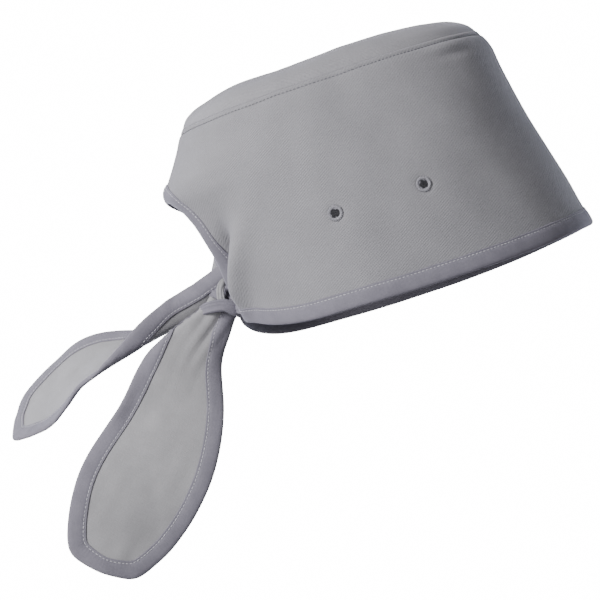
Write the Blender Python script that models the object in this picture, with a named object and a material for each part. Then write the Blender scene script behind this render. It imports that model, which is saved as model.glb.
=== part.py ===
"""Cook's skull cap as worn on a level head, ties knotted at the nape.

The origin is the centre of the head opening. +Z is up, +X points to the front
of the cap and +Y to the wearer's left. Sizes are millimetres; points are
turned to metres when the objects are made.
"""

import bpy
import numpy as np
from mathutils import Vector
from mathutils.geometry import delaunay_2d_cdt

for old in list(bpy.data.objects):
    bpy.data.objects.remove(old, do_unlink=True)

METRES = 0.001

# Head opening, front to back and side to side, over the binding.
HEAD_LENGTH = 200.0
HEAD_BREADTH = 165.0
CROWN_HEIGHT = 114.0
DOME_RISE = 14.3
# How far the middle of each side hangs below the front of the rim.
RIM_DIP = 6.5
# Degrees by which the front of the rim is raised when worn.
WEARING_TILT = 18.5

ARCH_TOP = 79.2
ARCH_HALF_WIDTH = 22.0
PANEL_END_HALF_GAP = 11.0
PANEL_END_TOP = 27.0

CLOTH = 1.2
TIE_CLOTH = 1.4
TAPE = 0.9
TAPE_WIDTH = 8.6
GAP = 0.3
# Height of the tape's legs over the cloth, so that both can bend together.
TAPE_LIFT = 0.6

EYELET_SPREAD = 24.4
EYELET_SHIFT = -9.0
EYELET_HEIGHT = 43.5
EYELET_OUTER = 7.9
EYELET_HOLE = 4.8
EYELET_THICK = 2.0

TIE_LENGTH = 150.0
TIE_WIDTH = 66.0

# Knot: place behind the middle of the opening and above the rim, and its size.
KNOT_BACK = 0.4725 * HEAD_LENGTH
KNOT_UP = 0.215 * CROWN_HEIGHT
KNOT_HALF = (6.4, 10.9, 8.4)

# The widest place of the head lies this far behind the middle of the opening.
WIDEST = -12.0
SQUARENESS = 2.25
# Millimetres per radian in the flat drawing of the side panel.
DRAWN_RADIUS = 0.233 * (HEAD_LENGTH + HEAD_BREADTH)
CIRCLE = 2.0 * np.pi * DRAWN_RADIUS

# Side wall from rim to seam: height as a share of CROWN_HEIGHT, front and rear
# as shares of half HEAD_LENGTH, side as a share of half HEAD_BREADTH.
WALL = (
    (-0.08, 1.018, -0.900, 0.995),
    (0.00, 1.001, -0.905, 1.000),
    (0.11, 0.973, -0.912, 1.005),
    (0.215, 0.950, -0.920, 1.005),
    (0.33, 0.920, -0.935, 1.000),
    (0.44, 0.892, -0.958, 0.990),
    (0.55, 0.863, -0.998, 0.970),
    (0.62, 0.847, -1.034, 0.955),
    (0.68, 0.834, -1.066, 0.940),
    (0.74, 0.822, -1.068, 0.924),
    (0.79, 0.812, -1.042, 0.908),
    (0.85, 0.802, -0.997, 0.885),
    (0.915, 0.790, -0.950, 0.860),
    (0.955, 0.772, -0.925, 0.840),
    (1.00, 0.738, -0.888, 0.800),
)

# Lower edge: degrees from the middle of the back, height as a share of RIM_DIP.
RIM = (
    (0.0, 1.75),
    (8.0, 1.55),
    (14.0, 1.10),
    (22.0, 0.72),
    (34.0, 0.10),
    (48.0, -0.48),
    (76.0, -0.85),
    (100.0, -1.00),
    (123.0, -0.98),
    (138.0, -0.82),
    (157.0, -0.43),
    (180.0, 0.00),
)

# Back arch: height from the panel ends to its top, half width of the opening,
# each as a share of its own size.
ARCH = (
    (0.00, 0.50),
    (0.10, 0.58),
    (0.20, 0.68),
    (0.33, 0.83),
    (0.50, 0.97),
    (0.64, 1.00),
    (0.76, 0.93),
    (0.86, 0.78),
    (0.94, 0.54),
    (0.985, 0.27),
    (1.00, 0.00),
)

# Dome of the top panel: distance from the middle and rise, as shares.
DOME = (
    (0.00, 1.00),
    (0.25, 0.975),
    (0.50, 0.925),
    (0.65, 0.855),
    (0.76, 0.765),
    (0.85, 0.635),
    (0.91, 0.485),
    (0.96, 0.290),
    (1.00, 0.00),
)

# Dents and folds of the wall: degrees round from the middle of the back
# (wearer's left positive), height as a share of CROWN_HEIGHT, half width in
# degrees, half height as a share, depth inwards in millimetres, and how many
# degrees the fold leans to the left from foot to seam.
DENTS = (
    (-22.2, 0.300, 6.8, 0.128, 7.0, -8.0),
    (22.2, 0.300, 6.8, 0.128, 6.0, 8.0),
    (-36.5, 0.315, 8.8, 0.210, -3.0, 0.0),
    (36.5, 0.315, 8.8, 0.210, -3.0, 0.0),
    (8.1, 0.300, 8.8, 0.114, -4.0, 0.0),
    (-39.0, 0.885, 10.8, 0.053, 1.6, 38.0),
    (42.0, 0.877, 12.1, 0.061, 1.8, -38.0),
    (-101.0, 0.737, 17.5, 0.175, 1.2, 46.0),
    (100.0, 0.614, 16.2, 0.193, 1.4, -46.0),
    (145.0, 0.544, 20.2, 0.210, 1.3, 23.0),
    (-147.0, 0.482, 20.2, 0.228, 1.0, -23.0),
)

# Outline of each tie: distance along and half width, as shares.
TIE_OUTLINE = (
    (0.00, 0.250),
    (0.053, 0.295),
    (0.105, 0.370),
    (0.158, 0.485),
    (0.21, 0.570),
    (0.263, 0.665),
    (0.316, 0.748),
    (0.368, 0.810),
    (0.474, 0.905),
    (0.579, 0.976),
    (0.684, 1.000),
    (0.789, 0.950),
    (0.842, 0.890),
    (0.895, 0.787),
    (0.947, 0.606),
    (0.979, 0.410),
    (1.00, 0.000),
)

# Hang of a tie: share along, then how far its middle line has come to the
# rear, to the left and down as shares of TIE_LENGTH, degrees its face is
# turned from the side view, and degrees it is rolled.
TIE_RIGHT_HANG = (
    (0.00, 0.000, 0.000, 0.000, 10.0, 42.0),
    (0.053, 0.026, -0.007, 0.046, 8.0, 38.0),
    (0.105, 0.057, -0.013, 0.091, 6.0, 30.0),
    (0.158, 0.093, -0.020, 0.134, 4.0, 24.0),
    (0.263, 0.134, -0.027, 0.232, 0.0, 16.0),
    (0.368, 0.163, -0.030, 0.333, -4.0, 12.0),
    (0.474, 0.199, -0.030, 0.432, -6.0, 8.0),
    (0.579, 0.242, -0.027, 0.528, -4.0, 8.0),
    (0.684, 0.285, -0.020, 0.623, 0.0, 8.0),
    (0.789, 0.327, -0.013, 0.719, 4.0, 8.0),
    (0.895, 0.378, -0.007, 0.825, 6.0, 6.0),
    (1.00, 0.424, 0.000, 0.938, 6.0, 6.0),
)
TIE_LEFT_HANG = (
    (0.00, 0.000, 0.000, 0.000, 112.0, 24.0),
    (0.08, 0.040, 0.014, 0.040, 102.0, 26.0),
    (0.16, 0.092, 0.030, 0.084, 96.0, 24.0),
    (0.24, 0.148, 0.048, 0.126, 94.0, 19.0),
    (0.32, 0.206, 0.070, 0.163, 96.0, 13.0),
    (0.40, 0.268, 0.102, 0.198, 101.0, 8.0),
    (0.50, 0.344, 0.153, 0.233, 108.0, 5.0),
    (0.60, 0.418, 0.213, 0.270, 112.0, 4.0),
    (0.70, 0.488, 0.276, 0.314, 115.0, 3.0),
    (0.80, 0.552, 0.340, 0.364, 115.0, 3.0),
    (0.90, 0.611, 0.405, 0.417, 114.0, 3.0),
    (1.00, 0.670, 0.470, 0.475, 112.0, 3.0),
)
# Where each tie leaves the knot, from the knot's centre, in the worn frame.
TIE_RIGHT_ROOT = (-1.2, -4.6, -8.1)
TIE_LEFT_ROOT = (-8.35, 10.0, 4.0)


def table(rows, column, at):
    """Smooth curve through a column of a table, against its first column."""
    xs = np.array([row[0] for row in rows])
    ys = np.array([row[column] for row in rows])
    at = np.clip(np.asarray(at, float), xs[0], xs[-1])
    steps = np.diff(xs)
    slopes = np.diff(ys) / steps
    tangent = np.empty_like(ys)
    tangent[0], tangent[-1] = slopes[0], slopes[-1]
    both = slopes[:-1] * slopes[1:] > 0
    mean = (steps[1:] * slopes[:-1] + steps[:-1] * slopes[1:]) / (steps[1:] + steps[:-1])
    tangent[1:-1] = np.where(both, mean, 0.0)
    cell = np.clip(np.searchsorted(xs, at, side="right") - 1, 0, len(xs) - 2)
    h = steps[cell]
    t = (at - xs[cell]) / h
    blend = t * t * (3.0 - 2.0 * t)
    ahead = t * (1.0 - t) ** 2
    behind = t * t * (t - 1.0)
    value = ys[cell] * (1.0 - blend) + ys[cell + 1] * blend
    return value + h * (ahead * tangent[cell] + behind * tangent[cell + 1])


def unit(v):
    """Each vector brought to length one."""
    return v / np.maximum(np.linalg.norm(v, axis=-1, keepdims=True), 1e-12)


def worn(points):
    """From the cap's own frame, rim level, to the frame it is worn in."""
    tilt = np.radians(WEARING_TILT)
    x, y, z = points[..., 0], points[..., 1], points[..., 2]
    turned_x = x * np.cos(tilt) - z * np.sin(tilt)
    turned_z = x * np.sin(tilt) + z * np.cos(tilt)
    return np.stack([turned_x, y, turned_z], axis=-1)


def wall_bare(round_mm, height):
    """Side wall: millimetres round from the middle of the back, and height."""
    angle = round_mm / DRAWN_RADIUS
    share = height / CROWN_HEIGHT
    front = table(WALL, 1, share) * HEAD_LENGTH / 2.0 - WIDEST
    rear = WIDEST - table(WALL, 2, share) * HEAD_LENGTH / 2.0
    side = table(WALL, 3, share) * HEAD_BREADTH / 2.0
    forward = -np.cos(angle)
    across = np.sin(angle)
    reach = np.where(forward > 0, front, rear)
    power = SQUARENESS
    radius = (np.abs(forward / reach) ** power + np.abs(across / side) ** power) ** (-1.0 / power)
    return np.stack([WIDEST + radius * forward, radius * across, height], axis=-1)


def surface_normal(surface, flat, step=0.4):
    """Outward normals at flat places of a surface."""
    du = surface(flat[:, 0] + step, flat[:, 1]) - surface(flat[:, 0] - step, flat[:, 1])
    dv = surface(flat[:, 0], flat[:, 1] + step) - surface(flat[:, 0], flat[:, 1] - step)
    return unit(np.cross(dv, du))


def wall(round_mm, height):
    """Side wall with its dents and folds."""
    flat = np.stack([np.ravel(round_mm), np.ravel(height)], axis=-1)
    push = np.zeros(len(flat))
    degrees = np.degrees(flat[:, 0] / DRAWN_RADIUS)
    for middle, level, half_round, half_height, depth, lean in DENTS:
        up = flat[:, 1] / CROWN_HEIGHT - level
        off = (degrees - middle - lean * up + 180.0) % 360.0 - 180.0
        push += depth * np.exp(-((off / half_round) ** 2) - (up / half_height) ** 2)
    normal = surface_normal(wall_bare, flat)
    return wall_bare(flat[:, 0], flat[:, 1]) - normal * push[:, None]


def rim_height(round_mm):
    """Height of the lower edge of the binding round the cap."""
    degrees = np.abs(np.degrees(np.asarray(round_mm) / DRAWN_RADIUS))
    return table(RIM, 1, degrees) * RIM_DIP


def tie_surface(root, hang, length):
    """Surface of a tie: millimetres along and across the flat tie."""
    width = TIE_WIDTH / 2.0

    def middle_line(share):
        share = np.clip(share, 0.0, 1.0)
        rear, left, down = (table(hang, k, share) for k in (1, 2, 3))
        return np.stack([-rear, left, -down], axis=-1) * length

    def place(along, across):
        share = along / length
        inside = np.clip(share, 0.0, 1.0)
        middle = middle_line(inside)
        heading = unit(middle_line(inside + 0.01) - middle_line(inside - 0.01))
        middle = middle + heading * ((share - inside) * length)[:, None]
        flat_side = unit(np.cross(heading, np.array([0.0, 1.0, 0.0])))
        deep_side = unit(np.cross(flat_side, heading))
        turn = np.radians(table(hang, 4, inside))[:, None]
        side = flat_side * np.cos(turn) + deep_side * np.sin(turn)
        face = unit(np.cross(side, heading))
        half = np.maximum(table(TIE_OUTLINE, 1, inside), 0.45) * width
        roll = np.radians(table(hang, 5, inside)) * across / half
        roll = np.where(np.abs(roll) < 1e-6, 1e-6, roll)
        sideways = across * np.sin(roll) / roll
        cupped = across * (1.0 - np.cos(roll)) / roll
        return np.array(root) + middle + side * sideways[:, None] + face * cupped[:, None]

    return place


def inset(line, distance):
    """The line moved to its left by a distance, in the flat drawing."""
    ahead = np.diff(line, axis=0, append=2 * line[-1:] - line[-2:-1])
    behind = np.diff(line, axis=0, prepend=2 * line[:1] - line[1:2])
    run = unit(unit(ahead) + unit(behind))
    return line + distance * np.stack([-run[:, 1], run[:, 0]], axis=-1)


def inside(points, loop):
    """Which flat points lie inside a closed outline."""
    x, y = points[:, 0], points[:, 1]
    hit = np.zeros(len(points), bool)
    for a, b in zip(loop, np.roll(loop, -1, axis=0)):
        crosses = (a[1] > y) != (b[1] > y)
        rise = b[1] - a[1]
        at = a[0] + (y - a[1]) * (b[0] - a[0]) / (rise if abs(rise) > 1e-12 else 1e-12)
        hit ^= crosses & (x < at)
    return hit


def clear_of(points, others, distance):
    """Which flat points keep a distance from all the others."""
    if not len(others):
        return np.ones(len(points), bool)
    apart = np.linalg.norm(points[:, None, :] - others[None, :, :], axis=-1)
    return apart.min(axis=1) > distance


def drawn(loop, holes, extra, grid, keep_off):
    """Triangles of a flat drawing: outline, holes, chosen points and a grid."""
    fixed = np.concatenate([loop] + list(holes))
    chosen = np.empty((0, 2))
    for rows in extra:
        rows = rows[clear_of(rows, np.concatenate([fixed, chosen]), 0.8)]
        chosen = np.concatenate([chosen, rows[inside(rows, loop)]])
    grid = grid[inside(grid, loop)]
    grid = grid[clear_of(grid, np.concatenate([fixed, chosen]), keep_off)]
    points = np.concatenate([fixed, chosen, grid])
    edges, start = [], 0
    for ring in [loop] + list(holes):
        count = len(ring)
        edges += [(start + i, start + (i + 1) % count) for i in range(count)]
        start += count
    flat = [Vector(p) for p in points]
    made = delaunay_2d_cdt(flat, edges, [], 0, 1e-6)
    points = np.array([tuple(p) for p in made[0]])
    faces = np.array([f for f in made[2] if len(f) == 3])
    middle = points[faces].mean(axis=1)
    keep = inside(middle, loop)
    for ring in holes:
        keep &= ~inside(middle, ring)
    faces = faces[keep]
    p, q, r = (points[faces[:, k]] for k in range(3))
    area = (q - p)[:, 0] * (r - p)[:, 1] - (q - p)[:, 1] * (r - p)[:, 0]
    faces[area < 0] = faces[area < 0][:, ::-1]
    return points, faces


def welded(points, faces):
    """Points in the same place made one, so that a cut drawing closes."""
    _, first, index = np.unique(
        np.round(points, 5), axis=0, return_index=True, return_inverse=True
    )
    return points[first], index.reshape(-1)[faces], first


def thick(points, normals, faces, near, far):
    """Closed solid between two offsets of a sheet."""
    count = len(points)
    both = np.concatenate([points + normals * near, points + normals * far])
    edges = np.concatenate([faces[:, [0, 1]], faces[:, [1, 2]], faces[:, [2, 0]]])
    seen = {tuple(e) for e in edges}
    rim = [e for e in seen if (e[1], e[0]) not in seen]
    sides = [(b, a, a + count, b + count) for a, b in sorted(rim)]
    skins = [tuple(f) for f in faces] + [tuple(f[::-1] + count) for f in faces]
    return both, skins + sides


def make(name, points, faces, colour, roughness=0.85):
    """One named object with its material, faces turned outward."""
    mesh = bpy.data.meshes.new(name)
    mesh.from_pydata((points * METRES).tolist(), [], [tuple(int(i) for i in f) for f in faces])
    mesh.validate()
    obj = bpy.data.objects.new(name, mesh)
    bpy.context.scene.collection.objects.link(obj)
    material = bpy.data.materials.get(colour[0]) or bpy.data.materials.new(colour[0])
    material.use_nodes = True
    shader = material.node_tree.nodes["Principled BSDF"]
    shader.inputs["Base Color"].default_value = (*colour[1], 1.0)
    shader.inputs["Roughness"].default_value = roughness
    mesh.materials.append(material)
    signed = sum(
        Vector(mesh.vertices[f.vertices[0]].co).dot(
            Vector(mesh.vertices[f.vertices[1]].co).cross(mesh.vertices[f.vertices[k + 1]].co)
        )
        for f in mesh.polygons
        for k in range(1, len(f.vertices) - 1)
    )
    if signed < 0:
        mesh.flip_normals()
    return obj


TWILL = ("grey_twill", (0.36, 0.35, 0.38))
TAPE_COLOUR = ("contrast_tape", (0.20, 0.19, 0.23))
THREAD = ("eyelet_thread", (0.62, 0.62, 0.64))


def tape_section(cloth, bends):
    """Folded tape round a cloth edge: inset from the edge and height above it."""
    over = TAPE_LIFT + TAPE
    legs = [TAPE_WIDTH * k / bends for k in range(bends, 0, -1)] + [-GAP]
    front = [(away, over) for away in legs]
    back = [(away, -cloth - over) for away in legs[::-1]]
    back_lining = [(away, -cloth - TAPE_LIFT) for away in legs]
    front_lining = [(away, TAPE_LIFT) for away in legs[::-1]]
    fold = [(-GAP - TAPE, -cloth / 2.0)]
    return np.array(front + fold + back + back_lining + front_lining)


def swept_tape(line, surface, normal_of, cloth, bends=2):
    """Tape along a line of the flat drawing, cloth lying to its left."""
    section = tape_section(cloth, bends)
    rows = []
    for away, above in section:
        flat = inset(line, away)
        rows.append(surface(flat[:, 0], flat[:, 1]) + normal_of(flat) * above)
    points = np.stack(rows, axis=1)
    stations, around = points.shape[:2]
    faces = []
    for i in range(stations - 1):
        here, there = i * around, (i + 1) * around
        for k in range(around):
            m = (k + 1) % around
            faces.append((here + k, here + m, there + m, there + k))
    fold, inner = bends + 1, 3 * bends + 3
    tiles = [(fold - 1, fold, inner + 1), (fold, inner, inner + 1), (fold, fold + 1, inner)]
    for k in range(bends):
        tiles.append((k, k + 1, around - 2 - k, around - 1 - k))
        tiles.append((fold + 1 + k, fold + 2 + k, inner - 1 - k, inner - k))
    end = (stations - 1) * around
    faces += [tuple(reversed(tile)) for tile in tiles]
    faces += [tuple(end + k for k in tile) for tile in tiles]
    return points.reshape(-1, 3), faces


# The tape's fold sits outside the cloth edge, so the cloth is cut back by this.
FOLD = GAP + TAPE
HALF_ROUND = CIRCLE / 2.0
# Least distance from a grid point of the drawing to a chosen one.
SPACING = 0.0541 * DRAWN_RADIUS

# Stations round the crown, closer together at the pleats behind.
near_back = np.linspace(PANEL_END_HALF_GAP, DRAWN_RADIUS * 0.78, 11)
to_front = np.linspace(DRAWN_RADIUS * 0.88, HALF_ROUND, 15)
one_side = np.concatenate([near_back, to_front])
rim_round = np.concatenate([one_side, CIRCLE - one_side[-2::-1]])
behind_end = PANEL_END_HALF_GAP * 0.55

arch_share = np.array([0.0, 0.1, 0.2, 0.3, 0.41, 0.52, 0.63, 0.74, 0.83, 0.90, 0.95, 0.985, 1.0])
arch_height = PANEL_END_TOP + arch_share * (ARCH_TOP - PANEL_END_TOP) + FOLD * arch_share
arch_half = table(ARCH, 1, arch_share) * ARCH_HALF_WIDTH + FOLD * (1.0 - 0.3 * arch_share)
arch_half[-1] = 0.0
arch_left = np.stack([arch_half, arch_height], axis=-1)
# From the left panel end up over the arch and down to the right panel end.
arch_line = np.concatenate([arch_left, arch_left[-2::-1] * [-1.0, 1.0]])


def seam_height(round_mm):
    """The seam lies in a plane that rises a little to the front."""
    x = wall_bare(np.asarray(round_mm, float), np.full(len(round_mm), CROWN_HEIGHT))[:, 0]
    return CROWN_HEIGHT * (0.9965 + 0.0045 * x / (HEAD_LENGTH / 2.0))


def wall_normals(flat):
    """Outward normals of the side wall at flat places."""
    return surface_normal(wall, flat)


# The drawing is cut at the middle of the front: it runs from the right panel
# end round the right side (negative) to the front, and the same on the left.
left_rim = np.stack([one_side, rim_height(one_side) + FOLD], axis=-1)
seam_round = np.concatenate([[behind_end], one_side])
left_seam = np.stack([seam_round, seam_height(seam_round)], axis=-1)
middle_seam = np.array([[0.0, seam_height(np.zeros(1))[0]]])
front_heights = np.array([0.16, 0.33, 0.5, 0.66, 0.8, 0.9, 0.96])
front_foot, front_head = left_rim[-1, 1], left_seam[-1, 1]
front_levels = front_foot + front_heights * (front_head - front_foot)
front_cut = np.stack([np.full(len(front_levels), HALF_ROUND), front_levels], axis=-1)
mirror = np.array([-1.0, 1.0])
left_end = np.array([[PANEL_END_HALF_GAP * 1.036, PANEL_END_TOP * 0.815]])
panel_loop = np.concatenate(
    [
        left_rim,
        front_cut,
        left_seam[::-1],
        middle_seam,
        left_seam * mirror,
        front_cut[::-1] * mirror,
        left_rim[::-1] * mirror,
        left_end * mirror,
        arch_line[::-1],
        left_end,
    ]
)


def eyelet_flat(side, place):
    """Flat place of an eyelet from its distance ahead of the middle."""
    ahead = EYELET_SHIFT + place * EYELET_SPREAD
    round_mm = np.linspace(0.7, 2.7, 1200) * DRAWN_RADIUS
    x = wall_bare(round_mm, np.full(1200, EYELET_HEIGHT))[:, 0]
    return np.array([side * np.interp(ahead, x, round_mm), EYELET_HEIGHT])


def ring_flat(centre, radius, count, surface):
    """Circle on a surface, drawn flat with the local stretch taken out."""
    u, v = centre
    step = 1.0
    across = surface(np.array([u - step, u + step]), np.array([v, v]))
    up = surface(np.array([u, u]), np.array([v - step, v + step]))
    stretch_u = np.linalg.norm(across[1] - across[0]) / (2 * step)
    stretch_v = np.linalg.norm(up[1] - up[0]) / (2 * step)
    turn = np.linspace(0.0, 2.0 * np.pi, count, endpoint=False)
    ring = np.stack([np.cos(turn) / stretch_u, np.sin(turn) / stretch_v], axis=-1)
    return np.array(centre) + radius * ring


EYELETS = {
    "eyelet_right_front": (-1, 1),
    "eyelet_right_rear": (-1, -1),
    "eyelet_left_front": (1, 1),
    "eyelet_left_rear": (1, -1),
}
HOLE_SIDES = 16
eyelet_places = {name: eyelet_flat(*where) for name, where in EYELETS.items()}
cloth_hole = EYELET_OUTER / 2.0 + GAP
hole_rings = [ring_flat(at, cloth_hole, HOLE_SIDES, wall) for at in eyelet_places.values()]
around_holes = [ring_flat(at, cloth_hole + 4.0, 12, wall) for at in eyelet_places.values()]

tape_rows = []
for away in (TAPE_WIDTH * 0.5, TAPE_WIDTH, TAPE_WIDTH + 4.0):
    for line in (left_rim, (left_rim * mirror)[::-1], arch_line[::-1]):
        tape_rows.append(inset(line, away))
both_seams = np.concatenate([left_seam, left_seam * mirror])
under_seam = [both_seams - [0.0, drop * CROWN_HEIGHT] for drop in (0.026, 0.061, 0.105)]
grid_round = np.concatenate([-one_side[::-1], [-behind_end, 0.0, behind_end], one_side])
grid_share = np.array([0.09, 0.16, 0.22, 0.28, 0.34, 0.41, 0.5, 0.6, 0.7, 0.81])
grid_height = grid_share * CROWN_HEIGHT
grid = np.array([(u, v) for v in grid_height for u in grid_round if abs(u) < HALF_ROUND - 2.0])

flat, faces = drawn(panel_loop, hole_rings, tape_rows + under_seam + around_holes, grid, SPACING)
cut = np.isclose(np.abs(flat[:, 0]), HALF_ROUND)
normals = wall_normals(flat)
points = wall(flat[:, 0], flat[:, 1])
points[cut, 1] = 0.0
normals[cut, 1] = 0.0
points, faces, first = welded(points, faces)
solid, solid_faces = thick(points, unit(normals[first]), faces, 0.0, -CLOTH)
make("side_panel", worn(solid), solid_faces, TWILL)

# The top panel is a set of rings shrinking from the seam to the middle.
top_round = np.concatenate([seam_round, CIRCLE - seam_round[-2::-1], [CIRCLE]])
edge = wall(top_round, seam_height(top_round))
edge_normal = wall_normals(np.stack([top_round, seam_height(top_round)], axis=-1))
centre = np.array([(edge[:, 0].max() + edge[:, 0].min()) / 2.0, 0.0, 0.0])
DOME_SHARES = (0.3, 0.52, 0.68, 0.8, 0.88, 0.945)


def dome(share):
    """A ring of the top panel, its rim a gap above the wall's seam edge."""
    inward = edge * [1.0, 1.0, 0.0] - centre
    flat_ring = centre + inward * share
    level = edge[:, 2] * share + (1.0 - share) * edge[:, 2].mean()
    rise = DOME_RISE * table(DOME, 1, share)
    dip_x = (flat_ring[:, 0] / HEAD_LENGTH + 0.29) / 0.07
    dip_y = (flat_ring[:, 1] / HEAD_BREADTH + 0.255) / 0.073
    sag = 1.3 * np.exp(-(dip_x**2) - dip_y**2)
    flat_ring[:, 2] = level + rise - sag * (1.0 - share)
    return flat_ring


lift = unit(np.cross(np.roll(edge, -1, axis=0) - np.roll(edge, 1, axis=0), edge_normal))
lift = lift * np.where(lift[:, 2:] < 0, -1.0, 1.0)
rings = [dome(share) for share in DOME_SHARES] + [edge + lift * GAP]
around = len(top_round)
top_points = np.concatenate([[centre + [0.0, 0.0, edge[:, 2].mean() + DOME_RISE]]] + rings)
top_faces = [(0, 1 + i, 1 + (i + 1) % around) for i in range(around)]
for ring in range(len(rings) - 1):
    a, b = 1 + ring * around, 1 + (ring + 1) * around
    for i in range(around):
        j = (i + 1) % around
        top_faces += [(a + i, b + i, b + j), (a + i, b + j, a + j)]
top_faces = np.array(top_faces)
top_normal = np.zeros_like(top_points)
p, q, r = (top_points[top_faces[:, k]] for k in range(3))
facet = np.cross(q - p, r - p)
for k in range(3):
    np.add.at(top_normal, top_faces[:, k], facet)
top_normal = unit(top_normal)
if top_normal[0, 2] < 0:
    top_normal, top_faces = -top_normal, top_faces[:, ::-1]
top_normal[-around:] = edge_normal
solid, solid_faces = thick(top_points, top_normal, top_faces, 0.0, -CLOTH)
make("top_panel", worn(solid), solid_faces, TWILL)

both_ways = np.minimum(rim_round, CIRCLE - rim_round)
rim_flat = np.stack([rim_round, rim_height(both_ways) + FOLD], axis=-1)
tape, tape_faces = swept_tape(rim_flat, wall, wall_normals, CLOTH)
make("rim_binding", worn(tape), tape_faces, TAPE_COLOUR)

tape, tape_faces = swept_tape(arch_line[::-1], wall, wall_normals, CLOTH)
make("arch_binding", worn(tape), tape_faces, TAPE_COLOUR)

# Each eyelet is a ring of thread round its hole.
SECTION_SIDES = 6
for name, at in eyelet_places.items():
    rows = []
    half_wide = (EYELET_OUTER - EYELET_HOLE) / 4.0
    middle_radius = (EYELET_OUTER + EYELET_HOLE) / 4.0
    for k in range(SECTION_SIDES):
        turn = 2.0 * np.pi * k / SECTION_SIDES
        ring = ring_flat(at, middle_radius + half_wide * np.cos(turn), HOLE_SIDES, wall)
        above = EYELET_THICK / 2.0 * np.sin(turn) - CLOTH / 2.0
        rows.append(wall(ring[:, 0], ring[:, 1]) + wall_normals(ring) * above)
    points = np.stack(rows, axis=1).reshape(-1, 3)
    ring_faces = []
    for i in range(HOLE_SIDES):
        j = (i + 1) % HOLE_SIDES
        for k in range(SECTION_SIDES):
            m = (k + 1) % SECTION_SIDES
            corners = ((i, k), (i, m), (j, m), (j, k))
            ring_faces.append(tuple(a * SECTION_SIDES + b for a, b in corners))
    make(name, worn(points), ring_faces, THREAD)


def tie(name, root, hang):
    """One tie and the tape folded round its outline."""
    surface = tie_surface(root, hang, TIE_LENGTH)
    neck = [0.0, 0.05, 0.1, 0.15, 0.2, 0.26, 0.33, 0.4]
    leaf = [0.48, 0.55, 0.62, 0.69, 0.76, 0.83, 0.885, 0.925, 0.955, 0.978, 0.992]
    shares = np.array(neck + leaf)
    half = table(TIE_OUTLINE, 1, shares) * TIE_WIDTH / 2.0
    up_side = np.stack([shares * TIE_LENGTH, half], axis=-1)
    end = np.array([[TIE_LENGTH, 0.0]])
    bound = np.concatenate([up_side * [1.0, -1.0], end, up_side[::-1]])
    cloth_line = inset(bound, FOLD)
    rows = [inset(cloth_line, away) for away in (TAPE_WIDTH * 0.5, TAPE_WIDTH)]
    across = np.linspace(-0.41, 0.41, 7) * TIE_WIDTH
    along = np.arange(0.047, 1.0, 0.0604) * TIE_LENGTH
    grid = np.array([(a, b) for a in along for b in across])

    def normal_of(flat):
        return surface_normal(surface, flat, 0.3)

    flat, faces = drawn(cloth_line, [], rows, grid, 5.0)
    points = surface(flat[:, 0], flat[:, 1])
    solid, solid_faces = thick(points, normal_of(flat), faces, 0.0, -TIE_CLOTH)
    make(name, solid, solid_faces, TWILL)
    tape, tape_faces = swept_tape(cloth_line, surface, normal_of, TIE_CLOTH)
    make(name + "_binding", tape, tape_faces, TAPE_COLOUR)


knot_middle = worn(np.array([[-KNOT_BACK, 0.0, KNOT_UP]]))[0]
tie("tie_right", knot_middle + np.array(TIE_RIGHT_ROOT), TIE_RIGHT_HANG)
tie("tie_left", knot_middle + np.array(TIE_LEFT_ROOT), TIE_LEFT_HANG)

# Wraps of the knot: tilt of each wrap's plane in degrees, its place across
# and the depth of the groove beside it.
WRAPS = ((35.0, -0.38, 1.1), (35.0, 0.42, 1.2), (-50.0, 0.05, 0.9))
KNOT_RINGS, KNOT_SIDES = 14, 20
points = [(0.0, 0.0, 1.0)]
for i in range(1, KNOT_RINGS):
    lat = np.pi * i / KNOT_RINGS
    for k in range(KNOT_SIDES):
        lon = 2.0 * np.pi * k / KNOT_SIDES
        points.append((np.sin(lat) * np.cos(lon), np.sin(lat) * np.sin(lon), np.cos(lat)))
points = np.array(points + [(0.0, 0.0, -1.0)])
groove = np.zeros(len(points))
for tilt, across, depth in WRAPS:
    turn = np.radians(tilt)
    level = points[:, 2] * np.cos(turn) + points[:, 1] * np.sin(turn)
    groove += depth * np.exp(-(((level - across) / 0.16) ** 2))
rounded = np.sign(points) * np.abs(points) ** 0.88
solid = knot_middle + rounded * (np.array(KNOT_HALF) - groove[:, None])
faces = [(0, 1 + k, 1 + (k + 1) % KNOT_SIDES) for k in range(KNOT_SIDES)]
for i in range(KNOT_RINGS - 2):
    a, b = 1 + i * KNOT_SIDES, 1 + (i + 1) * KNOT_SIDES
    for k in range(KNOT_SIDES):
        m = (k + 1) % KNOT_SIDES
        faces.append((a + k, b + k, b + m, a + m))
last = len(points) - 1
base = 1 + (KNOT_RINGS - 2) * KNOT_SIDES
faces += [(last, base + (k + 1) % KNOT_SIDES, base + k) for k in range(KNOT_SIDES)]
make("tie_knot", solid, faces, TAPE_COLOUR)
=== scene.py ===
import math

import bpy
import numpy as np
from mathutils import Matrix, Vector
from mathutils.geometry import delaunay_2d_cdt
from mathutils.kdtree import KDTree


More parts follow.
